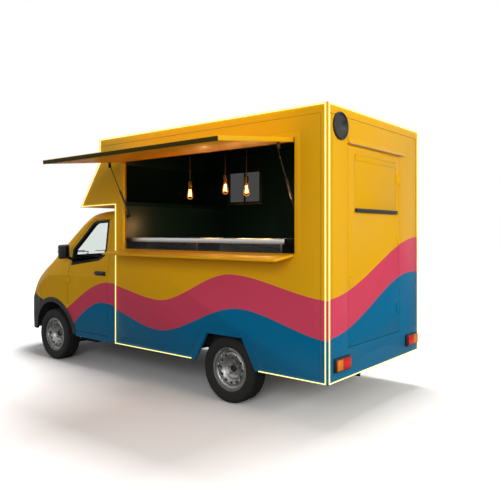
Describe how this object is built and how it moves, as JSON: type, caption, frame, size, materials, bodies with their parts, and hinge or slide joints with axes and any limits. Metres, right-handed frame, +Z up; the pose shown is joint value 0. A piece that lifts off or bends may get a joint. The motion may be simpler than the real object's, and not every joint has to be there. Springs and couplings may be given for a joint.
{
  "type": "food truck",
  "caption": "Van-based food truck with a kitchen box, open serving hatch on gas struts, fold-down shelf, opening doors, steering and rolling wheels.",
  "frame": {"origin": "on the ground, on the centreline, midway between the axles", "axes": "+X forward, +Y to the left side with the serving hatch, +Z up"},
  "size_m": [5.264, 3.1435, 2.838],
  "materials": {
    "body_paint": "gloss",
    "steel_black": "satin",
    "cast_parts": "rough",
    "wheel_steel": "satin",
    "tyre_rubber": "matte",
    "black_plastic": "matte",
    "window_glass": "clear",
    "lamp_lens": "clear",
    "red_lens": "clear",
    "seat_cloth": "woven",
    "stainless": "brushed",
    "sandwich_panel": "satin",
    "light_strip": "glowing",
    "bulb_glass": "clear",
    "dark_brass": "aged",
    "chrome_rod": "polished"
  },
  "bodies": {
    "truck": {"chassis_frame": "steel_black", "crossmembers": "steel_black", "towing_eye": "steel_black", "engine_block": "cast_parts", "front_subframe": "cast_parts", "rear_axle": "cast_parts", "cab_body": "body_paint", "cab_floor": "steel_black", "front_bumper": "black_plastic", "headlamps": "lamp_lens", "windscreen": "window_glass", "dashboard": "black_plastic", "steering_wheel": "black_plastic", "cab_seats": "seat_cloth", "box_floor": "sandwich_panel", "box_left_wall": "sandwich_panel", "box_right_wall": "sandwich_panel", "box_front_wall": "sandwich_panel", "box_roof": "sandwich_panel", "box_rear_wall": "sandwich_panel", "counters": "stainless", "pendant_stems": "dark_brass", "bulbs": "bulb_glass", "tail_lamps": "red_lens", "edge_lights": "light_strip", "side_window": "black_plastic", "rear_vent": "black_plastic"},
    "bonnet": {"bonnet": "body_paint"},
    "left_door": {"door_left": "body_paint", "door_glass_left": "window_glass", "mirror_left": "black_plastic"},
    "right_door": {"door_right": "body_paint", "door_glass_right": "window_glass", "mirror_right": "black_plastic"},
    "left_knuckle": {"knuckle_left": "cast_parts"},
    "right_knuckle": {"knuckle_right": "cast_parts"},
    "front_left_wheel": {"rim_front_left": "wheel_steel", "tyre_front_left": "tyre_rubber"},
    "front_right_wheel": {"rim_front_right": "wheel_steel", "tyre_front_right": "tyre_rubber"},
    "rear_left_wheel": {"rim_rear_left": "wheel_steel", "tyre_rear_left": "tyre_rubber"},
    "rear_right_wheel": {"rim_rear_right": "wheel_steel", "tyre_rear_right": "tyre_rubber"},
    "rear_door": {"rear_door": "sandwich_panel"},
    "rear_flap": {"rear_flap": "sandwich_panel"},
    "serving_hatch": {"serving_hatch": "sandwich_panel"},
    "serving_shelf": {"serving_shelf": "sandwich_panel"},
    "front_strut_cylinder": {"strut_cylinder_front": "steel_black"},
    "front_strut_rod": {"strut_rod_front": "chrome_rod"},
    "rear_strut_cylinder": {"strut_cylinder_rear": "steel_black"},
    "rear_strut_rod": {"strut_rod_rear": "chrome_rod"}
  },
  "joints": [
    {"name": "steer_left", "type": "hinge", "parent": "truck", "child": "left_knuckle", "pos_m": [1.55, 0.7455, 0.336], "axis": [0, 0, 1], "range_deg": [-35, 35]},
    {"name": "steer_right", "type": "hinge", "parent": "truck", "child": "right_knuckle", "pos_m": [1.55, -0.7455, 0.336], "axis": [0, 0, 1], "range_deg": [-35, 35]},
    {"name": "spin_front_left", "type": "hinge", "parent": "left_knuckle", "child": "front_left_wheel", "pos_m": [1.55, 0.8075, 0.336], "axis": [0, 1, 0], "continuous": true},
    {"name": "spin_front_right", "type": "hinge", "parent": "right_knuckle", "child": "front_right_wheel", "pos_m": [1.55, -0.8075, 0.336], "axis": [0, 1, 0], "continuous": true},
    {"name": "spin_rear_left", "type": "hinge", "parent": "truck", "child": "rear_left_wheel", "pos_m": [-1.55, 0.8075, 0.336], "axis": [0, 1, 0], "continuous": true},
    {"name": "spin_rear_right", "type": "hinge", "parent": "truck", "child": "rear_right_wheel", "pos_m": [-1.55, -0.8075, 0.336], "axis": [0, 1, 0], "continuous": true},
    {"name": "open_left_door", "type": "hinge", "parent": "truck", "child": "left_door", "pos_m": [1.196, 0.9364, 1.15], "axis": [0, 0, 1], "range_deg": [-70, 0]},
    {"name": "open_right_door", "type": "hinge", "parent": "truck", "child": "right_door", "pos_m": [1.196, -0.9364, 1.15], "axis": [0, 0, 1], "range_deg": [0, 70]},
    {"name": "open_bonnet", "type": "hinge", "parent": "truck", "child": "bonnet", "pos_m": [1.646, 0, 1.394], "axis": [0, -1, 0], "range_deg": [0, 50]},
    {"name": "open_rear_door", "type": "hinge", "parent": "truck", "child": "rear_door", "pos_m": [-2.7464, -0.472, 1.5], "axis": [0, 0, 1], "range_deg": [0, 90]},
    {"name": "open_rear_flap", "type": "hinge", "parent": "rear_door", "child": "rear_flap", "pos_m": [-2.7464, 0.055, 2.433], "axis": [0, 1, 0], "range_deg": [0, 85]},
    {"name": "close_hatch", "type": "hinge", "parent": "truck", "child": "serving_hatch", "pos_m": [-1.2, 0.9864, 2.567], "axis": [1, 0, 0], "range_deg": [-83.7, 0]},
    {"name": "fold_shelf", "type": "hinge", "parent": "truck", "child": "serving_shelf", "pos_m": [-1.2, 0.9864, 1.496], "axis": [1, 0, 0], "range_deg": [-83, 0]},
    {"name": "turn_front_strut", "type": "hinge", "parent": "truck", "child": "front_strut_cylinder", "pos_m": [-0.04, 0.91, 1.9], "axis": [1, 0, 0], "range_deg": [-0.5, 26.61]},
    {"name": "slide_front_rod", "type": "slide", "parent": "front_strut_cylinder", "child": "front_strut_rod", "axis": [0, 0.4581, 0.8889], "range_m": [-0.1939, 0.001]},
    {"name": "turn_rear_strut", "type": "hinge", "parent": "truck", "child": "rear_strut_cylinder", "pos_m": [-2.365, 0.91, 1.9], "axis": [1, 0, 0], "range_deg": [-0.5, 26.61]},
    {"name": "slide_rear_rod", "type": "slide", "parent": "rear_strut_cylinder", "child": "rear_strut_rod", "axis": [0, 0.4581, 0.8889], "range_m": [-0.1939, 0.001]}
  ],
  "couplings": [
    {"joint": "steer_right", "follows": "steer_left", "ratio": 1},
    {"joint": "turn_front_strut", "follows": "close_hatch", "ratio": -0.3119},
    {"joint": "slide_front_rod", "follows": "close_hatch", "m_per_rad": 0.13204},
    {"joint": "turn_rear_strut", "follows": "close_hatch", "ratio": -0.3119},
    {"joint": "slide_rear_rod", "follows": "close_hatch", "m_per_rad": 0.13204}
  ]
}
